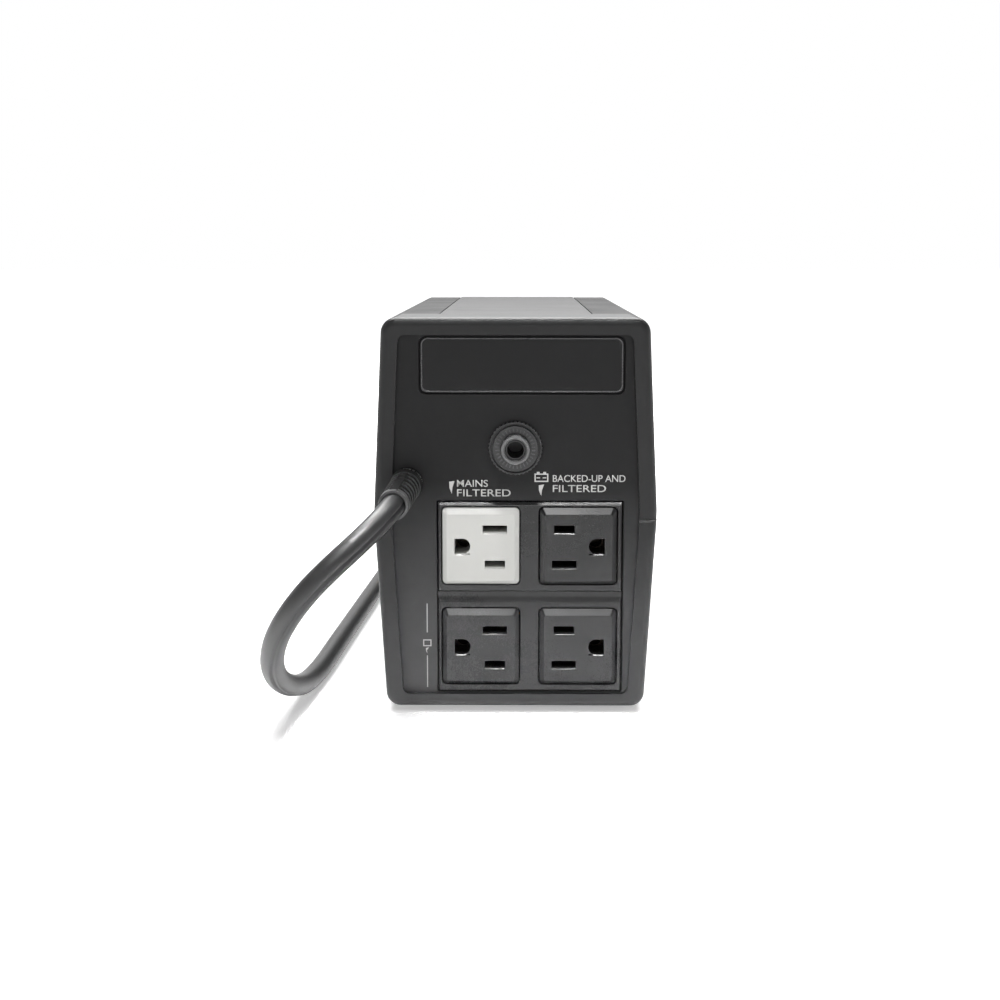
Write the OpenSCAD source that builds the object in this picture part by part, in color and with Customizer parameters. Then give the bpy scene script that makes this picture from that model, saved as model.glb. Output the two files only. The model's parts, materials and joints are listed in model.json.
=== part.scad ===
// Small tower uninterruptible power supply.
// Rear face (outlets) looks towards +Y, front face (power button) towards -Y.
// Origin: middle of the base, on the table, under the whole unit without its lead.

/* [Case] */
// Depth of the case, front face to rear rim
case_d = 279; // [274:1:286]
// Width of the case at its widest, just above the seam
case_w = 101.2; // [99.2:0.2:104.2]
// Height of the case above its feet
case_h = 140; // [138:1:146]
// Height of the seam between the two halves
seam_z = 70.4; // [69.4:0.2:71.4]
// Wall thickness of the mouldings
wall = 2.6; // [2.2:0.1:3]
// Height of the rubber feet
foot_h = 2; // [1.5:0.25:3]
// Width of the rim round the rear panel
rim_w = 6.2; // [5.6:0.1:6.6]
// Outside corner radius along the top
top_r = 5.5; // [4:0.5:7.5]
// Outside corner radius along the bottom
bottom_r = 5; // [4:0.5:6]

/* [Outlets] */
// Width and height of one outlet face
face_w = 27.4; // [26.6:0.1:27.8]
// Centre of the outlet column next to the lead
col_a = 12.3; // [12:0.1:12.6]
// Centre of the other outlet column
col_b = -22.45; // [-22.8:0.05:-22.2]
// Centre height of the upper outlets
row_hi = 60.9; // [60.4:0.1:61.2]
// Centre height of the lower outlets
row_lo = 24.3; // [24:0.1:24.8]

/* [Breaker] */
// Centre height of the reset breaker
breaker_z = 96; // [95:0.5:98]
// Diameter of the knurled ring nut
nut_d = 19.2; // [18.8:0.2:21]
// How far the breaker's neck stands out beyond the rear rim
neck_out = 5.5; // [4.5:0.5:7]
// How far the reset button comes out when it trips
reset_travel = 3; // [2:0.5:3.5]

/* [Battery cover] */
// How far the cover slides before its hooks are free
cover_travel = 10; // [9.5:0.25:11]

/* [Power button] */
// Diameter of the power button
button_d = 20; // [16:1:24]
// Centre height of the power button
button_z = 112; // [108:1:114]
// Travel of the power button
button_travel = 2; // [1:0.25:2]

/* [Lead] */
// Diameter of the mains lead
lead_d = 8; // [7.2:0.1:8.4]
// Inner radius of the stored coil
coil_in = 36; // [35:1:38]
// Outer radius of the stored coil
coil_out = 52; // [50:1:54]

/* [Hidden] */

$fn = 48;
R = (case_d - neck_out) / 2;         // plane of the rear rim
YF = R - case_d;                     // plane of the front face
top_z = foot_h + case_h;
RU = R - 0.8;                        // the upper half's rim lies a little deeper
PY = R - 2.2;                        // face of the rear panel
panel_t = 2.5;
PB = PY - panel_t;                   // back of the rear panel
bezel_d = 14;
YB = YF + bezel_d;                   // where the two halves begin
edge_r = 2.6;

// ---------- section of the case ----------
kink_z = seam_z + 2;
function half(z) = case_w / 2 - (z > kink_z ? (z - kink_z) * 0.047 : (kink_z - z) * 0.0615);
function arc(cx, cz, r, a0, a1, n = 7) =
  [for (i = [0:n]) [cx + r * cos(a0 + (a1 - a0) * i / n), cz + r * sin(a0 + (a1 - a0) * i / n)]];
function upper_pts(i, it, r, z0) = let (zt = top_z - it, zk = kink_z + 1.6, xc = half(zt - r) - i - r)
  concat([[half(z0) - i, z0], [half(zk) - i, zk]], arc(xc, zt - r, r, 0, 90), arc(-xc, zt - r, r, 90, 180),
    [[-half(zk) + i, zk], [-half(z0) + i, z0]]);
function lower_pts(i, ib, r, z1) = let (zb = foot_h + ib, xc = half(zb + r) - i - r)
  concat([[-half(z1) + i, z1]], arc(-xc, zb + r, r, 180, 270), arc(xc, zb + r, r, 270, 360),
    [[half(z1) - i, z1]]);
function ring_pts(i, it, ib, r) = let (zt = top_z - it, zb = foot_h + ib,
    xt = half(zt - r) - i - r, xb = half(zb + r) - i - r)
  concat([[half(seam_z) - i - 0.1, seam_z], [half(kink_z + 1.6) - i - 0.1, kink_z + 1.6]],
    arc(xt, zt - r, r, 0, 90), arc(-xt, zt - r, r, 90, 180),
    [[-half(kink_z + 1.6) + i + 0.1, kink_z + 1.6], [-half(seam_z) + i + 0.1, seam_z]],
    arc(-xb, zb + r, r, 180, 270), arc(xb, zb + r, r, 270, 360));
function rr(w, h, r, n = 5) = concat(arc(w/2 - r, h/2 - r, r, 0, 90, n), arc(-w/2 + r, h/2 - r, r, 90, 180, n),
  arc(-w/2 + r, -h/2 + r, r, 180, 270, n), arc(w/2 - r, -h/2 + r, r, 270, 360, n));
function at(p, x, z) = [for (q = p) [q[0] + x, q[1] + z]];

module yprism(pts, y0, y1) translate([0, y1, 0]) rotate([90, 0, 0]) linear_extrude(y1 - y0) polygon(pts);
module ycyl(x, z, r, y0, y1) translate([x, y0, z]) rotate([-90, 0, 0]) cylinder(r = r, h = y1 - y0);
module box(x0, x1, y0, y1, z0, z1) translate([x0, y0, z0]) cube([x1 - x0, y1 - y0, z1 - z0]);
// wedge that runs along X: triangle given in Y and Z
module xwedge(x0, x1, a, b, c) translate([x0, 0, 0]) rotate([90, 0, 90]) linear_extrude(x1 - x0) polygon([a, b, c]);

module upper_outer() union() {
  yprism(upper_pts(0, 0, top_r, seam_z + 0.1), YB, RU - edge_r);
  hull() for (k = [0:4]) let (a = 90 * k / 4, s = edge_r * (1 - cos(a)), y = RU - edge_r + edge_r * sin(a))
    yprism(upper_pts(s, s, top_r - s * 0.6, seam_z + 0.1), y - 0.05, y);
}
module lower_outer() hull() {
  yprism(lower_pts(0, 0, bottom_r, seam_z), YB, YB + 0.1);
  for (k = [0:4]) let (a = 90 * k / 4, s = edge_r * (1 - cos(a)), y = R - edge_r + edge_r * sin(a))
    yprism(lower_pts(s, s, bottom_r - s * 0.6, seam_z), y - 0.05, y);
}
// the panel's opening in the rim and the groove behind its lip
module panel_cut() {
  yprism(ring_pts(rim_w, 6.1, 4.8, 2.6), R - 9, R + 2);
  yprism(ring_pts(rim_w - 1.7, 4.4, 3.1, 3), PB - 0.05, PY + 0.05);
}
post_x = 39.5;
posts = [[post_x, -122], [-post_x, -122], [post_x, 97], [-post_x, 97]];
board_posts = [[33, -88], [-33, -88], [33, 76], [-33, 76]];
board_z = 104;
module top_zones(y0, y1) for (s = [-1, 1]) yprism([[s * 28.1, top_z + 1], [s * 28.1, top_z - 0.7],
  [s * 28.9, top_z - 0.7], [s * 28.9, top_z - 0.3], [s * 60, top_z - 0.3], [s * 60, top_z + 1]], y0, y1);
module vents(z0, z1) for (i = [0:9]) box(-60, 60, 34 + i * 6, 36.4 + i * 6, z0, z1);

// ---------- case ----------
module top_cover() color([0.19, 0.19, 0.2]) difference() {
  union() {
    difference() {
      upper_outer();
      yprism(upper_pts(wall, wall, 4, seam_z - 1), YB - 1, R - 7.6);
      panel_cut();
    }
    for (p = posts) {
      translate([p[0], p[1], 8.2]) cylinder(r = 3.1, h = top_z - wall - 8.1);
      box(p[0] > 0 ? 41.5 : -46.8, p[0] > 0 ? 46.8 : -41.5, p[1] - 0.8, p[1] + 0.8, seam_z + 8, top_z - wall - 1);
    }
    for (p = board_posts) translate([p[0], p[1], board_z + 1.6]) cylinder(r = 3, h = top_z - wall - board_z - 1.5);
  }
  for (p = posts) translate([p[0], p[1], 8]) cylinder(r = 1.25, h = 14);
  for (p = board_posts) translate([p[0], p[1], board_z + 1]) cylinder(r = 1.2, h = 9);
  top_zones(YB - 1, R - 38);
  vents(92, 120);
}
rail_x = 34.6;
bat_y0 = YF + 16;
bat_y1 = bat_y0 + 151;
hooks = [bat_y0 + 20, bat_y0 + 75, bat_y0 + 130];
module base_tray() color([0.2, 0.2, 0.21]) difference() {
  union() {
    difference() {
      lower_outer();
      yprism(lower_pts(wall, wall, 3, seam_z + 1), YB - 1, R - 7.6);
      panel_cut();
    }
    for (p = posts) translate([p[0], p[1], foot_h + 0.5]) cylinder(r = 3.1, h = 8.1 - foot_h - 0.5);
    // rails beside the battery cover and walls of the battery bay
    for (s = [-1, 1]) {
      box(s > 0 ? rail_x : -38.6, s > 0 ? 38.6 : -rail_x, YB, bat_y1 + 2.6, foot_h + 0.2, foot_h + 4.4);
      box(s > 0 ? rail_x : -36.4, s > 0 ? 36.4 : -rail_x, bat_y0 - 4, bat_y1 + 2.6, foot_h + 4, 60);
    }
    box(-36, 36, bat_y1 + 0.8, bat_y1 + 2.6, foot_h + 1, 60);
    for (s = [-1, 1]) translate([s * 37.7, 58, foot_h + 2]) cylinder(r = 3.6, h = 2.6);
  }
  // opening of the battery bay, the groove for the cover's hooks and the notches they drop through
  box(-rail_x, rail_x, YB - 1, bat_y1 + 0.8, foot_h - 1, foot_h + 6);
  box(-rail_x - 1.6, rail_x + 1.6, YB - 1, bat_y1 + 0.8, foot_h + 1.0, foot_h + 2.4);
  for (h = hooks) box(-rail_x - 1.6, rail_x + 1.6, h - cover_travel - 0.6, h - 1.4, foot_h - 1, foot_h + 1.5);
  for (p = posts) translate([p[0], p[1], foot_h - 1]) {
    cylinder(r = 1.7, h = 9);
    cylinder(r = 2.8, h = 3.6);
  }
  for (s = [-1, 1]) translate([s * 37.7, 58, foot_h + 0.8]) cylinder(r = 1.2, h = 6);
  vents(22, 52);
  // bevel along the seam where the lower rim stands proud
  xwedge(-60, 60, [R - 1.1, seam_z + 0.1], [R + 0.1, seam_z + 0.1], [R + 0.1, seam_z - 1.1]);
}
module front_bezel() color([0.17, 0.17, 0.18]) union() {
  front_shell();
  // posts that carry the button board, with a pin through it
  for (s = [-1, 1]) {
    ycyl(s * 20, 90, 2.5, YF + 2.9, YF + 12);
    ycyl(s * 20, 90, 1.0, YF + 11.9, YF + 14.4);
  }
}
module front_shell() difference() {
  hull() {
    yprism(ring_pts(0.1, 0, 0, 5.5), YB - 0.3, YB - 0.2);
    for (k = [0:4]) let (a = 90 * k / 4, s = 4 * (1 - cos(a)), y = YF + 4 - 4 * sin(a))
      yprism(ring_pts(0.1 + s, s, s, 5.5 - s * 0.6), y, y + 0.05);
  }
  yprism(ring_pts(2.8, 2.6, 2.6, 4), YF + 3, YB + 1);
  ycyl(0, button_z, button_d / 2 + 0.07, YF - 1, YF + 4);
  for (x = [-12, 0, 12]) ycyl(x, 93, 1.55, YF - 1, YF + 4);
  // way for the battery cover under the front
  box(-rail_x - 1.6, rail_x + 1.6, YF - 1, YB + 1, foot_h - 1, foot_h + 2.7);
  top_zones(YF - 1, YB + 1);
  // grooves that carry the top's band down the front
  for (s = [-1, 1]) box(s * 28.5 - 0.4, s * 28.5 + 0.4, YF - 1, YF + 0.5, 14, top_z + 1);
  for (i = [0:6]) box(-22, 22, YF - 1, YF + 1.2, 22 + i * 6, 24.4 + i * 6);
}

// ---------- rear ----------
module rear_panel() color([0.17, 0.17, 0.18]) difference() {
  yprism(ring_pts(rim_w - 1.6, 4.5, 3.2, 3), PB, PY);
  box(-38.45, 27.95, PB - 1, PY + 1, 7.35, 76.95);
  ycyl(0, breaker_z, 5.3, PB - 1, PY + 1);
  translate([relief_p[0], PY - 3, relief_p[2]]) rotate([-90, 0, 0]) cylinder(r = 4.95, h = 5);
  yprism(at(rr(72.7, 20.6, 2.6), -2.25, 125.3), PY - 1.1, PY + 1);
}
module label_plate() color([0.16, 0.16, 0.17]) yprism(at(rr(71.5, 19.4, 2), -2.25, 125.3), PY - 1.1, PY - 0.05);

// face of the outlet block, in two tiers
bz_x0 = -38.2; bz_x1 = 27.7; bz_z0 = 7.6; bz_z1 = 76.7;
module tier(z0, z1, y1) hull() {
  box(bz_x0, bz_x1, PY - 0.2, PY, z0, z1);
  box(bz_x0 + 0.5, bz_x1 - 0.5, PY, y1, z0 + 0.4, z1 - 1.3);
}
module outlet_bezel() color([0.26, 0.26, 0.27]) difference() {
  union() {
    box(bz_x0, bz_x1, PB - 0.5, PY, bz_z0, bz_z1);
    box(bz_x0 - 1, bz_x1 + 1, PB - 1.6, PB - 0.05, bz_z0, bz_z1 + 1);
    tier(44.2, bz_z1, PY + 1.2);
    tier(bz_z0, 42, PY + 1.2);
  }
  for (x = [col_a, col_b]) for (z = [row_hi, row_lo])
    yprism(at(rr(face_w + 0.7, face_w + 0.8, 1.7), x, z), PB - 3, PY + 3);
}
// one outlet: dir says which side its ground hole is on, wide whether the neutral slot is the upper one
module slot(x, z, w, y1) {
  box(x - w / 2, x + w / 2, PY - 15, y1 + 1, z - 1.2, z + 1.2);
  xwedge(x - w / 2, x + w / 2, [y1 - 0.9, z - 1.1], [y1 + 0.3, z - 1.1], [y1 + 0.3, z - 2.2]);
}
module outlet(cx, cz, dir, wide) {
  fy = PY + 2.4;
  difference() {
    union() {
      yprism(at(rr(face_w, face_w + 0.1, 1.5), cx, cz), PY - 12, PY + 0.9);
      hull() {
        yprism(at(rr(face_w, face_w + 0.1, 1.5), cx, cz), PY + 0.8, PY + 0.9);
        yprism(at(rr(face_w - 3.2, face_w - 3.4, 0.8), cx, cz - 0.55), fy - 0.1, fy);
      }
    }
    slot(cx - dir * 5, cz + 6.35, wide ? 8.7 : 7.3, fy);
    slot(cx - dir * 5, cz - 6.35, wide ? 7.3 : 8.7, fy);
    ycyl(cx + dir * 6.5, cz, 2.75, PY - 15, fy + 1);
    box(min(cx + dir * 6.5, cx + dir * 9.4), max(cx + dir * 6.5, cx + dir * 9.4), PY - 15, fy + 1, cz - 2.75, cz + 2.75);
    xwedge(cx + dir * 6.5 - 2.6, cx + dir * 6.5 + 2.6, [fy - 0.7, cz - 2.6], [fy + 0.3, cz - 2.6], [fy + 0.3, cz - 3.5]);
  }
}
module receptacle_surge_upper_left() color([0.8, 0.8, 0.78]) outlet(col_a, row_hi, 1, true);
module receptacle_backup_upper_right() color([0.27, 0.27, 0.28]) outlet(col_b, row_hi, -1, false);
module receptacle_backup_lower_left() color([0.27, 0.27, 0.28]) outlet(col_a, row_lo, 1, true);
module receptacle_backup_lower_right() color([0.27, 0.27, 0.28]) outlet(col_b, row_lo, -1, false);

// contact strips behind the outlets
CY = PY - 12.1;
ax = col_a - 5; bx = col_b + 5;
module clip(x, z) {
  for (s = [-1, 1]) box(x - 3.2, x + 3.2, CY - 10, CY, z + s * 1.1 - 0.3, z + s * 1.1 + 0.3);
  box(x - 3.2, x + 3.2, CY - 10.6, CY - 9.9, z - 1.4, z + 1.4);
}
module stub(x, z, y0, y1) box(x - 1, x + 1, y0, y1, z - 1, z + 1);
module hot_contacts() color([0.72, 0.55, 0.25]) {
  h = [[ax, row_hi - 6.35], [ax, row_lo - 6.35], [bx, row_hi + 6.35], [bx, row_lo + 6.35]];
  union() {
    for (p = h) { clip(p[0], p[1]); stub(p[0] + 2.2, p[1], CY - 12.1, CY - 10.5); }
    for (c = [[ax, row_lo - 7.35, row_hi - 5.35], [bx, row_lo + 5.35, row_hi + 7.35]]) {
      box(c[0] + 1.2, c[0] + 3.2, CY - 12.8, CY - 12, c[1], c[2]);
      stub(c[0] + 2.2, 42, CY - 14.9, CY - 12.7);
    }
    box(bx + 1.2, ax + 3.2, CY - 15.6, CY - 14.8, 41, 43);
  }
}
module neutral_contacts() color([0.75, 0.72, 0.65]) {
  h = [[ax, row_hi + 6.35], [ax, row_lo + 6.35], [bx, row_hi - 6.35], [bx, row_lo - 6.35]];
  union() {
    for (p = h) { clip(p[0], p[1]); stub(p[0] - 2.2, p[1], CY - 12.1, CY - 10.5); }
    for (c = [[ax, row_lo + 5.35, row_hi + 7.35], [bx, row_lo - 7.35, row_hi - 5.35]]) {
      box(c[0] - 3.2, c[0] - 1.2, CY - 12.8, CY - 12, c[1], c[2]);
      stub(c[0] - 2.2, 48, CY - 14.9, CY - 12.7);
    }
    box(bx - 3.2, ax - 1.2, CY - 15.6, CY - 14.8, 47, 49);
  }
}
module ground_contacts() color([0.7, 0.6, 0.3]) {
  gx = [col_a + 6.5, col_b - 6.5];
  union() {
    for (x = gx) {
      for (z = [row_hi, row_lo]) {
        difference() {
          ycyl(x, z, 3.4, CY - 10, CY);
          ycyl(x, z, 2.6, CY - 9.2, CY + 1);
        }
        stub(x, z, CY - 12.1, CY - 9.9);
      }
      box(x - 1, x + 1, CY - 12.8, CY - 12, row_lo - 1, row_hi + 1);
      stub(x, 36, CY - 14.9, CY - 12.7);
    }
    box(gx[1] - 1, gx[0] + 1, CY - 15.6, CY - 14.8, 35, 37);
  }
}
module contact_housing() color([0.3, 0.3, 0.31]) difference() {
  box(-37.2, 26.7, CY - 17.2, CY + 0.05, 8.6, 75.7);
  box(-35.6, 25.1, CY - 15.62, CY + 1, 10.2, 74.1);
  for (x = [-6, 0]) ycyl(x, 30, 1.6, CY - 20, CY - 14);
}

// ---------- breaker ----------
module breaker_body() color([0.14, 0.14, 0.15]) difference() {
  union() {
    box(-7.5, 7.5, PB - 27, PB - 0.02, breaker_z - 17, breaker_z + 17);
    ycyl(0, breaker_z, 5.15, PB - 0.1, R + neck_out - 0.9);
    translate([0, R + neck_out - 0.9, breaker_z]) rotate([-90, 0, 0]) cylinder(r1 = 5.15, r2 = 4.4, h = 0.9);
  }
  ycyl(0, breaker_z, 3.6, PB - 4, R + neck_out + 1);
  ycyl(0, breaker_z, 3.95, R + neck_out - 0.8, R + neck_out + 1);
  ycyl(0, breaker_z, 5, PB - 14, PB - 2.5);
}
module breaker_ring_nut() color([0.16, 0.16, 0.17]) difference() {
  n = 40;
  union() {
    yprism([for (i = [0:2 * n - 1]) let (r = nut_d / 2 - (i % 2) * 0.45) [r * cos(i * 180 / n), breaker_z + r * sin(i * 180 / n)]], PY, PY + 2.2);
    ycyl(0, breaker_z, nut_d / 2 - 1.6, PY + 0.1, PY + 3);
  }
  ycyl(0, breaker_z, 5.2, PY - 1, PY + 5);
  difference() {
    ycyl(0, breaker_z, nut_d / 2 - 0.85, PY + 0.9, PY + 2.5);
    ycyl(0, breaker_z, nut_d / 2 - 1.6, PY + 0.8, PY + 3);
  }
}
// hollow reset button with a collar that stops it inside the body
module breaker_reset_button() color([0.12, 0.12, 0.13]) difference() {
  union() {
    ycyl(0, breaker_z, 3.55, PB - 12, R + neck_out - 1.2);
    ycyl(0, breaker_z, 4.6, PB - 2.55 - reset_travel - 1.5, PB - 2.55 - reset_travel);
  }
  ycyl(0, breaker_z, 2.9, R + neck_out - 18, R + neck_out);
}
module breaker_terminals() color([0.75, 0.75, 0.76]) for (s = [-1, 1])
  box(-3.15, 3.15, PB - 37, PB - 27, breaker_z + s * 9 - 0.4, breaker_z + s * 9 + 0.4);

// ---------- front controls ----------
module power_button() color([0.2, 0.2, 0.21]) union() {
  ycyl(0, button_z, button_d / 2, YF + 0.4, YF + 4.3);
  ycyl(0, button_z, button_d / 2 + 1.1, YF + 3.05, YF + 4.3);
  ycyl(0, button_z, 2.5, YF + 4.2, YF + 5.8);
}
function helix(r, y0, y1, n, t) = [for (i = [0:n]) [r * cos(360 * t * i / n), y0 + (y1 - y0) * i / n, r * sin(360 * t * i / n)]];
module button_spring() color([0.7, 0.7, 0.72]) translate([0, 0, button_z])
  tube(helix(6.2, YF + 4.75, YF + 11.55, 60, 5), 0.35, 6);
module button_board() color([0.1, 0.3, 0.16]) difference() {
  yprism(at(rr(50, 38, 1), 0, 103), YF + 12, YF + 13.6);
  for (s = [-1, 1]) ycyl(s * 20, 90, 1.1, YF + 11, YF + 15);
}
module tact_switch() color([0.1, 0.1, 0.1]) union() {
  box(-3, 3, YF + 8.5, YF + 12, button_z - 3, button_z + 3);
  ycyl(0, button_z, 1.5, YF + 7.9, YF + 8.6);
}
module indicator_lens() color([0.8, 0.85, 0.8, 0.7]) for (x = [-12, 0, 12]) ycyl(x, 93, 1.5, YF + 0.1, YF + 11.98);

// ---------- underside ----------
module battery_cover() color([0.18, 0.18, 0.19]) difference() {
  union() {
    box(-rail_x + 0.3, rail_x - 0.3, YF + 2, bat_y1 + 0.4, foot_h, foot_h + 2.3);
    for (h = hooks) box(-rail_x - 1.3, rail_x + 1.3, h, h + 8, foot_h + 1.1, foot_h + 2.3);
  }
  for (i = [0:5]) box(-16, 16, YF + 20 + i * 4, YF + 21.6 + i * 4, foot_h - 1, foot_h + 0.6);
}
module rubber_feet() color([0.08, 0.08, 0.08]) for (x = [-38.6, 38.6]) for (y = [-104, 116])
  translate([x, y, 0]) linear_extrude(foot_h) polygon(rr(6, 16, 2.9));
module case_screws() color([0.6, 0.6, 0.62]) for (p = posts) translate([p[0], p[1], 0]) {
  translate([0, 0, foot_h + 0.6]) cylinder(r = 2.5, h = 2);
  translate([0, 0, foot_h + 2.5]) cylinder(r = 1.25, h = 14);
}

// ---------- battery ----------
bz0 = foot_h + 3;
module battery_case() color([0.25, 0.25, 0.26]) difference() {
  box(-32.5, 32.5, bat_y0, bat_y1, bz0, bz0 + 88);
  for (i = [0:2]) for (s = [0, 1])
    box(-30.5 + s * 31, -0.5 + s * 31, bat_y0 + 2 + i * 49.4, bat_y0 + 50 + i * 49.4, bz0 + 2, bz0 + 90);
}
module battery_plates() color([0.45, 0.46, 0.48]) for (i = [0:2]) for (s = [0, 1])
  box(-29.5 + s * 31, -1.5 + s * 31, bat_y0 + 6 + i * 49.4, bat_y0 + 42 + i * 49.4, bz0 + 2, bz0 + 62);
module battery_lid() color([0.2, 0.2, 0.21]) box(-32.5, 32.5, bat_y0, bat_y1, bz0 + 88, bz0 + 94);
module battery_terminals() color([0.75, 0.7, 0.6]) for (s = [-1, 1])
  box(s * 22 - 3.15, s * 22 + 3.15, bat_y0 + 6, bat_y0 + 6.8, bz0 + 94, bz0 + 101);
module spade_connectors() color([0.7, 0.1, 0.1]) for (s = [-1, 1]) difference() {
  box(s * 22 - 4.6, s * 22 + 4.6, bat_y0 + 4.2, bat_y0 + 8.8, bz0 + 95, bz0 + 108);
  box(s * 22 - 3.2, s * 22 + 3.2, bat_y0 + 5.9, bat_y0 + 6.9, bz0 + 94, bz0 + 102);
}
module battery_pads() color([0.3, 0.3, 0.3]) for (s = [-1, 1]) for (y = [bat_y0 + 20, bat_y0 + 110])
  box(s > 0 ? 32.5 : -rail_x, s > 0 ? rail_x : -32.5, y, y + 20, 20, 50);

// ---------- transformer ----------
tz = foot_h + 5.8;
module transformer_core() color([0.35, 0.33, 0.32]) difference() {
  yprism([[-32, tz], [32, tz], [32, tz + 54], [-32, tz + 54]], 39, 77);
  for (s = [-1, 1]) box(s > 0 ? 10.6 : -21.4, s > 0 ? 21.4 : -10.6, 38, 78, tz + 10.8, tz + 43.2);
}
module transformer_winding() color([0.62, 0.3, 0.16]) difference() {
  box(-21.3, 21.3, 30, 86, tz + 10.9, tz + 43.1);
  box(-10.65, 10.65, 38.95, 77.05, tz + 10, tz + 44);
  for (s = [-1, 1]) box(-30, 30, s > 0 ? 77 : 29, s > 0 ? 87 : 39, s > 0 ? tz + 43.2 : tz + 43.2, tz + 50);
}
module transformer_frame() color([0.6, 0.6, 0.62]) difference() {
  union() {
    box(-33.3, 33.3, 46, 70, tz + 54.05, tz + 55.3);
    for (s = [-1, 1]) {
      box(s > 0 ? 32.05 : -33.3, s > 0 ? 33.3 : -32.05, 46, 70, tz - 1.2, tz + 55.3);
      box(s > 0 ? 32.05 : -42, s > 0 ? 42 : -32.05, 50, 66, tz - 1.2, tz - 0.02);
    }
  }
  for (s = [-1, 1]) translate([s * 37.7, 58, tz - 3]) cylinder(r = 1.7, h = 5);
}
module transformer_screws() color([0.65, 0.65, 0.67]) for (s = [-1, 1]) translate([s * 37.7, 58, 0]) {
  translate([0, 0, foot_h + 1.2]) cylinder(r = 1.2, h = tz - foot_h - 1.2);
  translate([0, 0, tz]) cylinder(r = 2.8, h = 2);
}

// ---------- electronics ----------
bt = board_z + 1.58;
module main_board() color([0.12, 0.36, 0.18]) difference() {
  box(-41, 41, -98, 85, board_z, bt);
  for (p = board_posts) translate([p[0], p[1], board_z - 1]) cylinder(r = 1.6, h = 4);
}
module board_screws() color([0.65, 0.65, 0.67]) for (p = board_posts) translate([p[0], p[1], 0]) {
  translate([0, 0, board_z - 2]) cylinder(r = 2.6, h = 1.98);
  translate([0, 0, board_z - 0.1]) cylinder(r = 1.2, h = 9);
}
module heatsink() color([0.6, 0.61, 0.62]) union() {
  box(-20, 20, -60, -57.5, bt, bt + 26);
  for (i = [0:7]) box(-20 + i * 5.4, -18.4 + i * 5.4, -57.6, -48, bt, bt + 26);
}
module power_transistors() color([0.1, 0.1, 0.1]) for (i = [0:3])
  box(-18.5 + i * 9.8, -9.5 + i * 9.8, -64.6, -60.02, bt, bt + 18);
module relays() color([0.12, 0.2, 0.5]) for (i = [0:2]) box(-34 + i * 22, -18 + i * 22, 40, 60, bt, bt + 16);
module capacitors() color([0.1, 0.12, 0.3]) for (p = [[-30, -20], [-30, 0], [-12, -20]])
  translate([p[0], p[1], bt]) cylinder(r = 6.5, h = 25);
module surge_varistors() color([0.15, 0.3, 0.6]) for (i = [0:2]) ycyl(30, bt + 9, 7, 10 + i * 9, 14 + i * 9);
module buzzer() color([0.06, 0.06, 0.06]) difference() {
  translate([20, -35, bt]) cylinder(r = 7, h = 9);
  translate([20, -35, bt + 6]) cylinder(r = 1.2, h = 5);
}
module terminal_blocks() color([0.15, 0.45, 0.25]) for (x = [-20, 8]) difference() {
  box(x, x + 16, 68, 78, bt, bt + 11);
  for (i = [0:2]) translate([x + 3 + i * 5, 73, bt + 7]) cylinder(r = 1.6, h = 6);
}

// ---------- tubes ----------
function unit(v) = v / norm(v);
function tang(p, i) = let (n = len(p)) unit(p[min(i + 1, n - 1)] - p[max(i - 1, 0)]);
// carries a side direction along the line without twist
function sides(p, i = 0, u = undef, acc = []) = i == len(p) ? acc :
  let (t = tang(p, i), w = u == undef ? (abs(t[2]) < 0.9 ? [0, 0, 1] : [1, 0, 0]) : u,
       v = unit(w - t * (w * t))) sides(p, i + 1, v, concat(acc, [v]));
module tube(p, r, m) {
  n = len(p); s = sides(p);
  pts = [for (i = [0:n - 1]) let (t = tang(p, i), a = s[i], b = cross(t, a))
    for (j = [0:m - 1]) p[i] + r * (cos(360 * j / m) * a + sin(360 * j / m) * b)];
  polyhedron(pts, concat([[for (j = [0:m - 1]) j]], [[for (j = [m - 1:-1:0]) (n - 1) * m + j]],
    [for (i = [0:n - 2]) for (j = [0:m - 1]) [i * m + j, (i + 1) * m + j, (i + 1) * m + (j + 1) % m]],
    [for (i = [0:n - 2]) for (j = [0:m - 1]) [i * m + j, (i + 1) * m + (j + 1) % m, i * m + (j + 1) % m]]), 10);
}
// smooth curve through hand-picked points
function cr(a, b, c, d, t) = 0.5 * (2 * b + (c - a) * t + (2 * a - 5 * b + 4 * c - d) * t * t + (3 * b - a - 3 * c + d) * t * t * t);
function smooth(q, k) = let (n = len(q)) concat([for (i = [0:n - 2]) for (j = [0:k - 1])
  cr(i == 0 ? 2 * q[0] - q[1] : q[i - 1], q[i], q[i + 1], i == n - 2 ? 2 * q[n - 1] - q[n - 2] : q[i + 2], j / k)], [q[n - 1]]);

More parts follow.
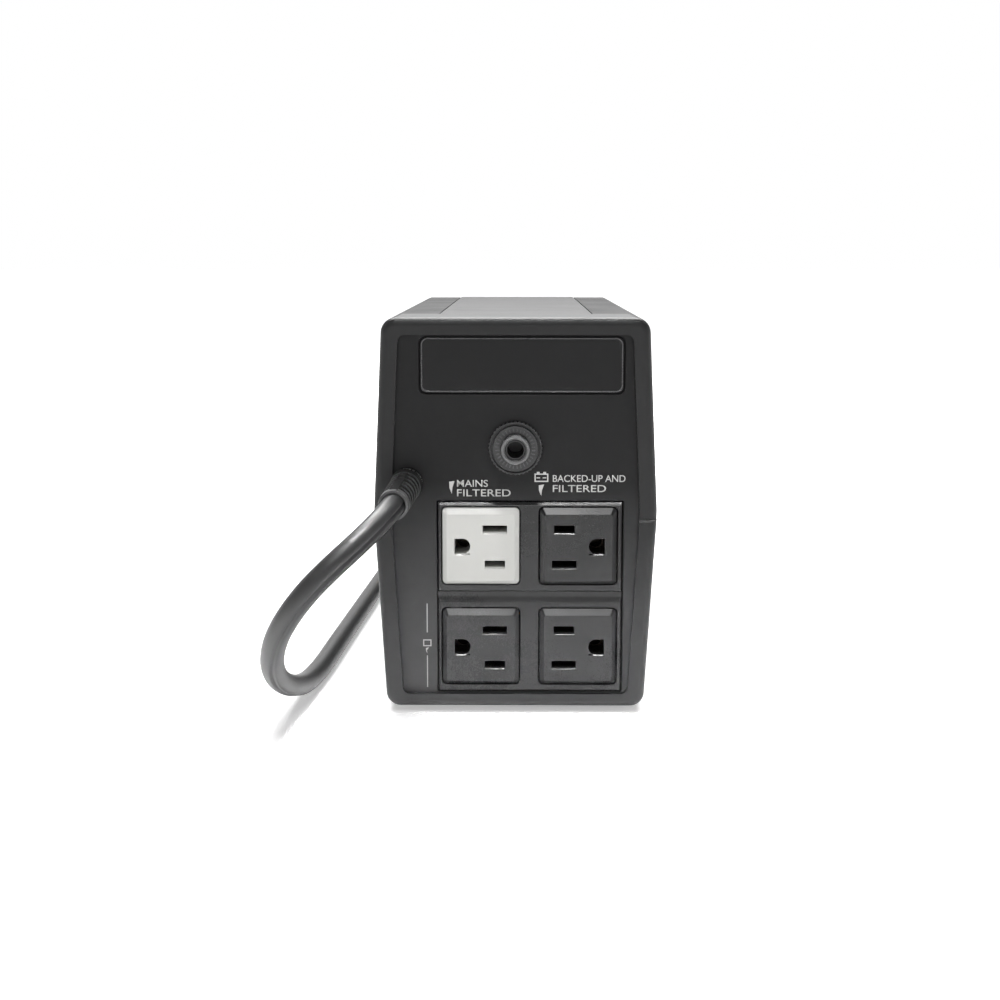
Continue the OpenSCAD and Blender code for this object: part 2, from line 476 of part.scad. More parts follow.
module battery_lead_red() color([0.7, 0.08, 0.06])
  tube(smooth([[22, bat_y0 + 6.5, bz0 + 108.2], [22, bat_y0 + 7, 120], [23, -112, 128], [24, -95, 127], [24, -88.5, 118], [24, -88, bt + 0.1]], 4), 1.6, 8);
module battery_lead_black() color([0.06, 0.06, 0.06])
  tube(smooth([[-22, bat_y0 + 6.5, bz0 + 108.2], [-22, bat_y0 + 7, 120], [-23, -112, 128], [-24, -95, 127], [-24, -88.5, 118], [-24, -88, bt + 0.1]], 4), 1.6, 8);
module mains_wires() {
  color([0.08, 0.08, 0.08]) tube(smooth([[36.5, PB - 6.6, 84], [34, 118, 86], [24, 100, 88], [10, 86, 88], [0, 86, 87], [0, PB - 37.15, 87]], 3), 1.1, 8);
  color([0.85, 0.85, 0.85]) tube(smooth([[38, PB - 6.6, 86], [38, 116, 92], [33, 100, 104], [22, 88, 119], [15, 78, 126], [13, 73.3, 122], [13, 73, bt + 11.15]], 3), 1.1, 8);
  color([0.1, 0.5, 0.2]) tube(smooth([[36.5, PB - 6.6, 81.5], [36, 116, 76], [32, 104, 60], [16, 98, 44], [3, 97, 32], [0, 101.5, 30], [0, CY - 15.75, 30]], 3), 1.1, 8);
}

// ---------- mains lead ----------
relief_p = [38.2, PY, 83.6];
relief_m = [41.2, R + 30, 80];
relief_l = norm(relief_m - relief_p);
relief_az = atan2(relief_m[0] - relief_p[0], relief_m[1] - relief_p[1]);
relief_el = asin((relief_m[2] - relief_p[2]) / relief_l);
// turns +Z on to the relief's own line
module along() translate(relief_p) rotate([0, 0, -relief_az]) rotate([relief_el - 90, 0, 0]) children();
module strain_relief() color([0.22, 0.22, 0.23]) difference() {
  union() {
    translate([relief_p[0], PB - 1, relief_p[2]]) rotate([-90, 0, 0]) cylinder(r = 4.85, h = panel_t + 2.5);
    intersection() {
      translate([relief_p[0], PB - 2.2, relief_p[2]]) rotate([-90, 0, 0]) cylinder(r = 6.5, h = 2.18);
      box(20, 43.1, PB - 4, PB + 1, 70, 95);
    }
    along() translate([0, 0, 3.2]) cylinder(r1 = 5.9, r2 = 5.6, h = 4);
    along() cylinder(r = 4.2, h = relief_l - 3);
    along() translate([0, 0, 24]) cylinder(r = 4.85, h = relief_l - 26);
    along() translate([0, 0, relief_l - 3.2]) cylinder(r = 5.25, h = 3.2);
    // spine down each side of the ribs and the ribs themselves
    along() translate([-1.4, -5.35, 7]) cube([2.8, 10.7, relief_l - 9]);
    along() for (i = [0:4]) translate([0, 0, 8.7 + i * 3.9]) cylinder(r = 5.5 - i * 0.05, h = 2.3);
  }
  along() translate([0, 0, relief_l - 8]) cylinder(r = lead_d / 2 + 0.25, h = 10);
}
// free part of the lead, out of the relief, down to the table and back beside the case
run_pts = [for (q = [
  [40.4, 22, 81], [41.2, 30, 80], [43, 39, 78.3], [46.6, 47.5, 75], [52, 54.5, 70.3],
  [59, 59, 64.2], [66.5, 60.5, 56.7], [73, 58.5, 48.3], [78, 53, 39.5],
  [81, 44, 30.5], [82, 32, 22.5], [81.5, 18, 15.7], [80, 2, 10.3], [78.5, -16, 6.4], [77, -36, 4.5],
  [75.5, -58, 4.05], [74, -90, 4.05], [72, -130, 4.05], [70, -170, 4.05], [68, -210, 4.05],
  [66, -250, 4.05], [64.5, -290, 4.05], [63.4, -320, 4.05], [63, -345, 4.05]]) [q[0], R + q[1], q[2]]];
coil_x = 15; coil_y = YF - 66; coil_h = 2 * lead_d + 0.2;
module power_cord_run() color([0.12, 0.12, 0.13]) tube(smooth(run_pts, 3), lead_d / 2, 10);
module power_cord_coil() color([0.12, 0.12, 0.13]) translate([coil_x, coil_y, 0])
  rotate_extrude() polygon([[coil_in, 2], [coil_in + 2, 0], [coil_out - 2, 0], [coil_out, 2],
    [coil_out, coil_h - 2.5], [coil_out - 2, coil_h], [coil_in + 2, coil_h], [coil_in, coil_h - 2.5]]);
plug_c = [coil_x + 4, coil_y + 34, coil_h];
tail_pts = [for (q = [[-48, 0, 12.15], [-46.8, 9, 13.4], [-43, 17.8, 15.8], [-37.4, 25.2, 19], [-30, 30.6, 22.4],
  [-21.5, 33.4, 25.4], [-14.5, 34, 26.8], [-8, 34, 27.2]]) [coil_x + q[0], coil_y + q[1], q[2] + coil_h - 16.2]];
module power_cord_tail() color([0.12, 0.12, 0.13]) tube(smooth(tail_pts, 3), lead_d / 2, 10);
module cord_tie() color([0.05, 0.05, 0.05]) translate([coil_x, coil_y - (coil_in + coil_out) / 2, 0]) difference() {
  translate([-4, -coil_w / 2 - 1.2, 0.02]) cube([8, coil_w + 2.4, coil_h + 1.3]);
  translate([-5, -coil_w / 2 - 0.05, -0.1]) cube([10, coil_w + 0.1, coil_h + 0.15]);
}
coil_w = coil_out - coil_in;
module xcyl(x0, x1, y, z, r0, r1) translate([x0, y, z]) rotate([0, 90, 0]) cylinder(r1 = r0, r2 = r1, h = x1 - x0);
// moulded plug lying across the coil, blades towards +X
module plug_body() color([0.1, 0.1, 0.11]) translate(plug_c) union() {
  hull() {
    translate([-2, -11, 0.02]) cube([6, 22, 20]);
    translate([10, -13, 0.02]) cube([12, 26, 23]);
  }
  xcyl(-12, -1.9, 0, 11, 5.2, 7.5);
}
module plug_blades() color([0.75, 0.68, 0.45]) translate(plug_c + [22, 0, 0]) for (s = [-1, 1])
  box(0, 16, s * 6.35 - 0.75, s * 6.35 + 0.75, 5, 11.4);
module plug_ground_pin() color([0.75, 0.68, 0.45]) translate(plug_c + [22, 0, 0])
  xcyl(0, 18, 0, 20.1, 2.35, 2.35);

top_cover();
base_tray();
front_bezel();
rear_panel();
label_plate();
outlet_bezel();
receptacle_surge_upper_left();
receptacle_backup_upper_right();
receptacle_backup_lower_left();
receptacle_backup_lower_right();
hot_contacts();
neutral_contacts();
ground_contacts();
contact_housing();
breaker_body();
breaker_ring_nut();
breaker_reset_button();
breaker_terminals();
power_button();
button_spring();
button_board();
tact_switch();
indicator_lens();
battery_cover();
rubber_feet();
case_screws();
battery_case();
battery_lid();
battery_plates();
battery_terminals();
battery_pads();
spade_connectors();
battery_lead_red();
battery_lead_black();
transformer_core();
transformer_winding();
transformer_frame();
transformer_screws();
main_board();
board_screws();
heatsink();
power_transistors();
relays();
capacitors();
surge_varistors();
buzzer();
terminal_blocks();
mains_wires();
strain_relief();
power_cord_run();
power_cord_coil();
power_cord_tail();
cord_tie();
plug_body();
plug_blades();
plug_ground_pin();
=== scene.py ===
import bpy, bmesh, json, math
from mathutils import Vector, Matrix


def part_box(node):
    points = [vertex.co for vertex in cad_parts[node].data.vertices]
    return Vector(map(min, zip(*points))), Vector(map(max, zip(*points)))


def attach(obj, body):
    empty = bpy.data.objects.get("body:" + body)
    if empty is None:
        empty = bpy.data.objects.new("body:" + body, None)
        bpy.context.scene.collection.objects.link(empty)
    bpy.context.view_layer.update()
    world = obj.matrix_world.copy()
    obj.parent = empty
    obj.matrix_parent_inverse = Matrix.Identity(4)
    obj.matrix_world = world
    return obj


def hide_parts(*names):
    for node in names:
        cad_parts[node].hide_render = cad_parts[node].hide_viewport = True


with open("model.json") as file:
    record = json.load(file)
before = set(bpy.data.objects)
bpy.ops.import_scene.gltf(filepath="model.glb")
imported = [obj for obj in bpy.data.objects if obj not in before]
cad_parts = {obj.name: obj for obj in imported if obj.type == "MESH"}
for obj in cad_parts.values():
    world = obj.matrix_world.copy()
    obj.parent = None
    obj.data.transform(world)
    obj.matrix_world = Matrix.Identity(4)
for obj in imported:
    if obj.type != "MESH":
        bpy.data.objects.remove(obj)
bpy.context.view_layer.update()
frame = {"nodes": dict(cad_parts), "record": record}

NODES = frame["nodes"]
scene = bpy.context.scene
MM = 0.001

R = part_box("base_tray")[1].y            # plane of the rear rim
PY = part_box("rear_panel")[1].y          # face of the rear panel
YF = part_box("front_bezel")[0].y         # front face
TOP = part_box("top_cover")[1].z
SLOT = {s["node"]: s["material_slot"] for s in frame["record"]["subparts"]}
BODY = {n: b for b, ns in frame["record"]["behaviour"]["bodies"].items() for n in ns}

# ------------------------------------------------------------------ camera
cam_data = bpy.data.cameras.new("cam")
cam = bpy.data.objects.new("cam", cam_data)
scene.collection.objects.link(cam)
cam.location = (-0.0016, R + 0.594, 0.165)
cam.rotation_euler = (math.radians(81.63), 0, math.radians(180.68))
cam_data.lens = 60.9
cam_data.sensor_width = 36
cam_data.clip_start, cam_data.clip_end = 0.01, 100
scene.camera = cam


def link(o):
    scene.collection.objects.link(o)
    return o


# ------------------------------------------------------------------ the lead
def catmull(q, k):
    q = [Vector(p) for p in q]
    n, out = len(q), []
    for i in range(n - 1):
        b, c = q[i], q[i + 1]
        a = 2 * b - c if i == 0 else q[i - 1]
        d = 2 * c - b if i == n - 2 else q[i + 2]
        for j in range(k):
            t = j / k
            out.append(0.5 * (2 * b + (c - a) * t + (2 * a - 5 * b + 4 * c - d) * t * t
                              + (3 * b - a - 3 * c + d) * t ** 3))
    return out + [q[-1]]


def resample(p, step):
    out, need = [p[0].copy()], step
    for a, b in zip(p, p[1:]):
        l = (b - a).length
        pos = 0.0
        while l - pos >= need:
            pos += need
            out.append(a.lerp(b, pos / l))
            need = step
        need -= l - pos
    if (out[-1] - p[-1]).length > step * 0.3:
        out.append(p[-1].copy())
    else:
        out[-1] = p[-1].copy()
    return out


def smoothstep(t):
    t = min(1, max(0, t))
    return t * t * (3 - 2 * t)


def tube_mesh(name, path, radius, sides=24, caps=True, groove=None):
    verts, faces = [], []
    n = len(path)
    up = Vector((0, 0, 1))
    frames = []
    for i, p in enumerate(path):
        t = (path[min(i + 1, n - 1)] - path[max(i - 1, 0)]).normalized()
        if i == 0 and abs(t.z) > 0.9:
            up = Vector((1, 0, 0))
        up = (up - t * up.dot(t)).normalized()
        frames.append((up.copy(), t.cross(up)))
    if groove:      # ring, direction it faces there, half width in radians, depth
        g_up, g_side = frames[groove[0]]
        g_at = math.atan2(groove[1].dot(g_side), groove[1].dot(g_up))
        k = int(math.floor((g_at % (2 * math.pi)) / (2 * math.pi) * sides)) % sides
        g_at = 2 * math.pi * (k + 0.5) / sides
    for i, p in enumerate(path):
        up, side = frames[i]
        r = radius(i / (n - 1)) if callable(radius) else radius
        for j in range(sides):
            a = 2 * math.pi * j / sides
            rr = r
            if groove:
                off = (a - g_at + math.pi) % (2 * math.pi) - math.pi
                rr -= groove[3] * math.exp(-(off / groove[2]) ** 2)
            verts.append(p + (up * math.cos(a) + side * math.sin(a)) * rr)
    for i in range(n - 1):
        for j in range(sides):
            m = (j + 1) % sides
            faces.append((i * sides + j, i * sides + m, (i + 1) * sides + m, (i + 1) * sides + j))
    if caps:
        faces.append(tuple(range(sides - 1, -1, -1)))
        faces.append(tuple((n - 1) * sides + j for j in range(sides)))
    me = bpy.data.meshes.new(name)
    me.from_pydata([tuple(v) for v in verts], [], faces)
    bm = bmesh.new(); bm.from_mesh(me)
    bmesh.ops.recalc_face_normals(bm, faces=bm.faces)
    bm.to_mesh(me); bm.free()
    for i, f in enumerate(me.polygons):
        f.use_smooth = len(f.vertices) == 4
        if groove and f.use_smooth and i % sides == k:
            f.material_index = 1        # the bottom of the groove, given the near-black material as a painted shadow line
    return me


LEAD_D = 8.0 * MM
run_pts = [(x * MM, R + y * MM, z * MM) for x, y, z in [
    (40.4, 22, 81), (41.2, 30, 80), (43, 39, 78.3), (46.6, 47.5, 75), (52, 54.5, 70.3),
    (59, 59, 64.2), (66.5, 60.5, 56.7), (73, 58.5, 48.3), (78, 53, 39.5),
    (81, 44, 30.5), (82, 32, 22.5), (81.5, 18, 15.7), (80, 2, 10.3), (78.5, -16, 6.4), (77, -36, 4.5),
    (75.5, -58, 4.05), (74, -90, 4.05), (72, -130, 4.05), (70, -170, 4.05), (68, -210, 4.05),
    (66, -250, 4.05), (64.5, -290, 4.05), (63.4, -320, 4.05), (63, -345, 4.05)]]
COIL = Vector((15 * MM, YF - 66 * MM, 0))


def coil_point(deg):
    """Two turns side by side on the table, then two on top of them, wound clockwise from above."""
    r = 48 - 8 * smoothstep((deg - 300) / 60) + 8 * smoothstep((deg - 900) / 60)
    z = 4.05 + 8.1 * smoothstep((deg - 600) / 60)
    a = math.radians(-deg)
    return COIL + Vector((r * math.cos(a), r * math.sin(a), z)) * MM


coil = [coil_point(d) for d in range(6, 1260, 6)]
tail_pts = [COIL + Vector(p) * MM for p in [
    (-48, 0, 12.15), (-46.8, 9, 13.4), (-43, 17.8, 15.8), (-37.4, 25.2, 19), (-30, 30.6, 22.4),
    (-21.5, 33.4, 25.4), (-14.5, 34, 26.8), (-8, 34, 27.2)]]
lead_path = resample(catmull(run_pts, 12) + coil + catmull(tail_pts, 8), 2.2 * MM)
lead = link(bpy.data.objects.new("mains_lead", tube_mesh("mains_lead", lead_path, LEAD_D / 2, 48,
                                                        groove=(16, Vector((-0.757, 0.649, 0.07)), 0.14, 0.8 * MM))))
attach(lead, "case")
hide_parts("power_cord_run", "power_cord_coil", "power_cord_tail")


# ------------------------------------------------------------------ materials
def new_mat(name):
    m = bpy.data.materials.new(name)
    m.use_nodes = True
    nt = m.node_tree
    nt.nodes.clear()
    out = nt.nodes.new("ShaderNodeOutputMaterial")
    bsdf = nt.nodes.new("ShaderNodeBsdfPrincipled")
    nt.links.new(bsdf.outputs[0], out.inputs[0])
    return m, nt, bsdf


def noise(nt, coord, scale, detail=2.0, rough=0.5, dist=0.0):
    n = nt.nodes.new("ShaderNodeTexNoise")
    n.inputs["Scale"].default_value = scale
    n.inputs["Detail"].default_value = detail
    n.inputs["Roughness"].default_value = rough
    n.inputs["Distortion"].default_value = dist
    nt.links.new(coord, n.inputs["Vector"])
    return n.outputs["Fac"]


def remap(nt, src, a, b, c, d):
    m = nt.nodes.new("ShaderNodeMapRange")
    m.inputs["From Min"].default_value, m.inputs["From Max"].default_value = a, b
    m.inputs["To Min"].default_value, m.inputs["To Max"].default_value = c, d
    nt.links.new(src, m.inputs["Value"])
    return m.outputs["Result"]


def mix_rgb(nt, fac, a, b):
    m = nt.nodes.new("ShaderNodeMix")
    m.data_type = "RGBA"
    nt.links.new(fac, m.inputs["Factor"])
    for sock, v in ((m.inputs[6], a), (m.inputs[7], b)):
        if isinstance(v, (tuple, list)):
            sock.default_value = (*v, 1) if len(v) == 3 else v
        else:
            nt.links.new(v, sock)
    return m.outputs[2]


def plastic(name, color, rough=0.45, grain=0.35, grain_depth=0.03, vary=0.12, worn_edge_and_sheen=0.25,
            level=0.5, coat=0.0, worn_edge_and_sheen_color=None, rough_vary=0.06, painted_bounce=None, painted_crease_shade=0.0):
    """Moulded plastic: spark-eroded grain, slight mottling, rougher and smoother patches, lighter edges (worn edges
    where weak, a painted highlight where set strongly). grain in mm.
    painted_bounce = (z0, z1, colour): painted light, a paler colour that is full at height z0 and gone at z1, in mm,
    standing in for light bounced up from the floor.
    painted_crease_shade: painted shade, a darkening of hollows."""
    m, nt, b = new_mat(name)
    tc = nt.nodes.new("ShaderNodeTexCoord").outputs["Object"]
    big = noise(nt, tc, 28, 3, 0.55)
    mid = noise(nt, tc, 190, 2, 0.5)
    fine = noise(nt, tc, 1000 / grain, 3, 0.6)
    lo = tuple(c * (1 - vary) for c in color)
    hi = tuple(min(1, c * (1 + vary)) for c in color)
    col = mix_rgb(nt, remap(nt, big, 0.3, 0.7, 0, 1), lo, hi)
    speck = tuple(min(1, c * (1 + vary * 1.6) + 0.002) for c in color)
    col = mix_rgb(nt, remap(nt, fine, 0.55, 0.8, 0, 0.6), col, speck)
    # lighter convex edges: real wear where set weakly, a painted highlight where set strongly
    if worn_edge_and_sheen > 0:
        geo = nt.nodes.new("ShaderNodeNewGeometry")
        edge = remap(nt, geo.outputs["Pointiness"], 0.53, 0.62, 0, worn_edge_and_sheen)
        mul = nt.nodes.new("ShaderNodeMath"); mul.operation = "MULTIPLY"
        nt.links.new(edge, mul.inputs[0])
        nt.links.new(remap(nt, mid, 0.35, 0.6, 0.2, 1), mul.inputs[1])
        wc = worn_edge_and_sheen_color or tuple(min(1, c * 2.2 + 0.02) for c in color)
        col = mix_rgb(nt, mul.outputs[0], col, wc)
    # painted shade: concave places are darkened towards black
    if painted_crease_shade:
        geo = nt.nodes.new("ShaderNodeNewGeometry")
        col = mix_rgb(nt, remap(nt, geo.outputs["Pointiness"], 0.495, 0.45, 0, painted_crease_shade), col, (0.002, 0.002, 0.002))
    # painted light: the lower part is blended towards a paler colour, standing in for light bounced up from the floor
    if painted_bounce:
        xyz = nt.nodes.new("ShaderNodeSeparateXYZ")
        nt.links.new(tc, xyz.inputs[0])
        painted_bounce_ramp = remap(nt, xyz.outputs["Z"], painted_bounce[1] * MM, painted_bounce[0] * MM, 0, 1)
        painted_bounce_mask = nt.nodes.new("ShaderNodeMath"); painted_bounce_mask.operation = "MULTIPLY"
        nt.links.new(painted_bounce_ramp, painted_bounce_mask.inputs[0])
        nt.links.new(remap(nt, mid, 0.2, 0.8, 0.85, 1.0), painted_bounce_mask.inputs[1])
        col = mix_rgb(nt, painted_bounce_mask.outputs[0], col, painted_bounce[2])
    nt.links.new(col, b.inputs["Base Color"])
    r = nt.nodes.new("ShaderNodeMath"); r.operation = "ADD"
    nt.links.new(remap(nt, big, 0.3, 0.7, rough - rough_vary, rough + rough_vary), r.inputs[0])
    nt.links.new(remap(nt, fine, 0.3, 0.7, -0.04, 0.04), r.inputs[1])
    nt.links.new(r.outputs[0], b.inputs["Roughness"])
    bump = nt.nodes.new("ShaderNodeBump")
    bump.inputs["Strength"].default_value = 1.0
    bump.inputs["Distance"].default_value = grain_depth * MM
    nt.links.new(fine, bump.inputs["Height"])
    bump2 = nt.nodes.new("ShaderNodeBump")
    bump2.inputs["Strength"].default_value = 1.0
    bump2.inputs["Distance"].default_value = 0.03 * MM
    nt.links.new(mid, bump2.inputs["Height"])
    nt.links.new(bump.outputs[0], bump2.inputs["Normal"])
    nt.links.new(bump2.outputs[0], b.inputs["Normal"])
    b.inputs["Specular IOR Level"].default_value = level
    b.inputs["Coat Weight"].default_value = coat
    b.inputs["Coat Roughness"].default_value = 0.15
    return m


def metal(name, color, rough=0.3, brush=(1, 1, 1), depth=0.02, stain=0.25):
    """Worn sheet metal: brushed streaks, dull patches, fine scratches."""
    m, nt, b = new_mat(name)
    tc = nt.nodes.new("ShaderNodeTexCoord").outputs["Object"]
    mp = nt.nodes.new("ShaderNodeMapping")
    mp.inputs["Scale"].default_value = brush
    nt.links.new(tc, mp.inputs["Vector"])
    streak = noise(nt, mp.outputs[0], 900, 2, 0.6)
    patch = noise(nt, tc, 80, 4, 0.6, 0.3)
    dull = tuple(c * (1 - stain) for c in color)
    nt.links.new(mix_rgb(nt, remap(nt, patch, 0.35, 0.65, 0, 1), color, dull), b.inputs["Base Color"])
    r = nt.nodes.new("ShaderNodeMath"); r.operation = "ADD"
    nt.links.new(remap(nt, patch, 0.3, 0.7, rough - 0.08, rough + 0.12), r.inputs[0])
    nt.links.new(remap(nt, streak, 0.3, 0.7, -0.05, 0.05), r.inputs[1])
    nt.links.new(r.outputs[0], b.inputs["Roughness"])
    bump = nt.nodes.new("ShaderNodeBump")
    bump.inputs["Distance"].default_value = depth * MM
    nt.links.new(streak, bump.inputs["Height"])
    nt.links.new(bump.outputs[0], b.inputs["Normal"])
    b.inputs["Metallic"].default_value = 1.0
    return m


def board(name):
    """Green board: solder mask over faint copper tracks."""
    m, nt, b = new_mat(name)
    tc = nt.nodes.new("ShaderNodeTexCoord").outputs["Object"]
    br = nt.nodes.new("ShaderNodeTexBrick")
    br.inputs["Scale"].default_value = 90
    br.inputs["Mortar Size"].default_value = 0.06
    br.inputs["Color1"].default_value = (0.03, 0.16, 0.06, 1)
    br.inputs["Color2"].default_value = (0.035, 0.19, 0.07, 1)
    br.inputs["Mortar"].default_value = (0.06, 0.28, 0.1, 1)
    nt.links.new(tc, br.inputs["Vector"])
    n = noise(nt, tc, 300, 3)
    nt.links.new(mix_rgb(nt, remap(nt, n, 0.3, 0.7, 0, 0.3), br.outputs["Color"], (0.02, 0.12, 0.05)), b.inputs["Base Color"])
    nt.links.new(remap(nt, n, 0.3, 0.7, 0.25, 0.4), b.inputs["Roughness"])
    bump = nt.nodes.new("ShaderNodeBump")
    bump.inputs["Distance"].default_value = 0.03 * MM
    nt.links.new(br.outputs["Fac"], bump.inputs["Height"])
    nt.links.new(bump.outputs[0], b.inputs["Normal"])
    return m


def lens_mat(name):
    m, nt, b = new_mat(name)
    tc = nt.nodes.new("ShaderNodeTexCoord").outputs["Object"]
    n = noise(nt, tc, 600, 2)
    nt.links.new(mix_rgb(nt, remap(nt, n, 0.3, 0.7, 0, 1), (0.75, 0.85, 0.75), (0.85, 0.93, 0.85)), b.inputs["Base Color"])
    nt.links.new(remap(nt, n, 0.3, 0.7, 0.1, 0.22), b.inputs["Roughness"])
    b.inputs["Transmission Weight"].default_value = 0.6
    b.inputs["IOR"].default_value = 1.49
    return m


def ink(name, color, rough=0.5):
    """Screen print: a thin, slightly uneven white layer."""
    m, nt, b = new_mat(name)
    tc = nt.nodes.new("ShaderNodeTexCoord").outputs["Object"]
    n = noise(nt, tc, 1800, 3, 0.6)
    nt.links.new(mix_rgb(nt, remap(nt, n, 0.3, 0.75, 0, 0.35), color, tuple(c * 0.7 for c in color)), b.inputs["Base Color"])
    nt.links.new(remap(nt, n, 0.3, 0.7, rough - 0.08, rough + 0.08), b.inputs["Roughness"])
    bump = nt.nodes.new("ShaderNodeBump")
    bump.inputs["Distance"].default_value = 0.01 * MM
    nt.links.new(n, bump.inputs["Height"])
    nt.links.new(bump.outputs[0], b.inputs["Normal"])
    return m


M = {
    # painted_bounce makes the case paler towards the bottom, a painted floor bounce
    "case_plastic": plastic("case_plastic", (0.006, 0.006, 0.0063), 0.48, 0.45, 0.035, 0.07, 0.22, level=0.34, rough_vary=0.025,
                            painted_bounce=(0, 66, (0.052, 0.052, 0.053))),
    "case_grain": plastic("case_grain", (0.006, 0.006, 0.0063), 0.62, 0.7, 0.07, 0.15, 0.1, level=0.22),
    # pale edge material: painted highlight on the plate's border and on the nut's ticks
    "plate_edge": plastic("plate_edge", (0.05, 0.05, 0.052), 0.30, 0.3, 0.01, 0.15, 0.2),
    # pale ring material: painted highlight on the end of the breaker's neck
    "neck_edge": plastic("neck_edge", (0.11, 0.11, 0.112), 0.30, 0.25, 0.006, 0.1, 0.0),
    # convex edges lightened strongly: painted highlight on the nut's knurls
    "nut_plastic": plastic("nut_plastic", (0.012, 0.012, 0.0125), 0.34, 0.25, 0.01, 0.1, 0.5, worn_edge_and_sheen_color=(0.12, 0.12, 0.12)),
    "bezel_plastic": plastic("bezel_plastic", (0.014, 0.014, 0.0145), 0.44, 0.45, 0.03, 0.10, 0.22, level=0.45),
    # painted_bounce makes the panel paler towards the bottom, a painted floor bounce
    "panel_plastic": plastic("panel_plastic", (0.0045, 0.0045, 0.0048), 0.50, 0.4, 0.03, 0.10, 0.15, level=0.22, painted_bounce=(8, 84, (0.085, 0.085, 0.086))),
    "plate_plastic": plastic("plate_plastic", (0.0045, 0.0045, 0.0048), 0.42, 0.3, 0.015, 0.08, 0.15, level=0.22),
    # painted_bounce makes the lower outlets paler than the upper ones, a painted floor bounce
    "outlet_black": plastic("outlet_black", (0.008, 0.008, 0.0083), 0.29, 0.3, 0.006, 0.08, 0.25, level=0.37, painted_bounce=(10, 72, (0.034, 0.034, 0.035))),
    "outlet_white": plastic("outlet_white", (0.50, 0.50, 0.48), 0.38, 0.3, 0.01, 0.03, 0.15, worn_edge_and_sheen_color=(0.5, 0.49, 0.46)),
    "inner_plastic": plastic("inner_plastic", (0.03, 0.03, 0.032), 0.55),
    "rubber": plastic("rubber", (0.018, 0.018, 0.018), 0.75, 0.25, 0.05, 0.2, 0.1, level=0.3),
    # painted_crease_shade darkens the lead's groove: painted shade
    "cord_jacket": plastic("cord_jacket", (0.014, 0.014, 0.0145), 0.42, 0.25, 0.010, 0.1, 0.0, rough_vary=0.05, level=0.48, painted_crease_shade=0.9),
    "plug_plastic": plastic("plug_plastic", (0.030, 0.030, 0.032), 0.38, 0.3, 0.02, 0.1, 0.2),
    # the ribs' convex edges are lightened strongly, a painted highlight on the ribs
    "relief_plastic": plastic("relief_plastic", (0.045, 0.045, 0.046), 0.36, 0.3, 0.012, 0.1, 0.9, worn_edge_and_sheen_color=(0.12, 0.12, 0.12)),
    "breaker_plastic": plastic("breaker_plastic", (0.050, 0.050, 0.051), 0.28, 0.25, 0.006, 0.1, 0.3, coat=0.2),
    "button_plastic": plastic("button_plastic", (0.035, 0.035, 0.037), 0.3, 0.3, 0.01, 0.1, 0.2, coat=0.3),
    "battery_plastic": plastic("battery_plastic", (0.1, 0.1, 0.105), 0.5),
    "chip_black": plastic("chip_black", (0.02, 0.02, 0.02), 0.5, 0.2),
    "relay_blue": plastic("relay_blue", (0.03, 0.08, 0.3), 0.3, 0.5, 0.01),
    "varistor_blue": plastic("varistor_blue", (0.05, 0.14, 0.4), 0.3, 0.6, 0.02),
    "terminal_green": plastic("terminal_green", (0.04, 0.28, 0.1), 0.4, 0.4, 0.02),
    "wire_red": plastic("wire_red", (0.45, 0.02, 0.015), 0.35, 0.3, 0.01, worn_edge_and_sheen=0),
    "wire_black": plastic("wire_black", (0.02, 0.02, 0.02), 0.35, 0.3, 0.01, worn_edge_and_sheen=0),
    "foam": plastic("foam", (0.12, 0.12, 0.12), 0.9, 0.9, 0.3, 0.3, 0),
    "capacitor_sleeve": plastic("capacitor_sleeve", (0.02, 0.025, 0.09), 0.25, 0.6, 0.01, worn_edge_and_sheen=0),
    # contacts darkened far below brass: painted shade deep in the outlet holes
    "contact_metal": metal("contact_metal", (0.05, 0.044, 0.032), 0.5, (1, 8, 1)),
    "blade_brass": metal("blade_brass", (0.75, 0.60, 0.32), 0.28, (8, 1, 1)),
    "steel": metal("steel", (0.55, 0.55, 0.56), 0.32, (8, 1, 1)),
    "laminations": metal("laminations", (0.30, 0.28, 0.26), 0.5, (1, 20, 1), 0.08),
    "copper": metal("copper", (0.62, 0.26, 0.11), 0.35, (1, 1, 14), 0.2),
    "lead": metal("lead", (0.35, 0.36, 0.38), 0.55, (1, 1, 1), 0.05),
    "aluminium": metal("aluminium", (0.7, 0.7, 0.72), 0.35, (1, 1, 10)),
    "pcb_green": board("pcb_green"),
    "lens": lens_mat("lens"),
    "ink": ink("ink", (0.50, 0.50, 0.49)),
    # near-black used as painted shade: the bottom of the lead's groove and the gaps of the strain relief
    "hole_dark": plastic("hole_dark", (0.004, 0.004, 0.004), 0.8, 0.4, 0.02, worn_edge_and_sheen=0, level=0.2),
}


def paint(o, m):
    o.data.materials.clear()
    o.data.materials.append(M[m])


for n, o in NODES.items():
    o.data.materials.clear()
    o.data.materials.append(M[SLOT[n]] if SLOT[n] in M else M["inner_plastic"])
paint(lead, "cord_jacket")
# near-black second material for the bottom of the groove: painted shade
lead.data.materials.append(M["hole_dark"])


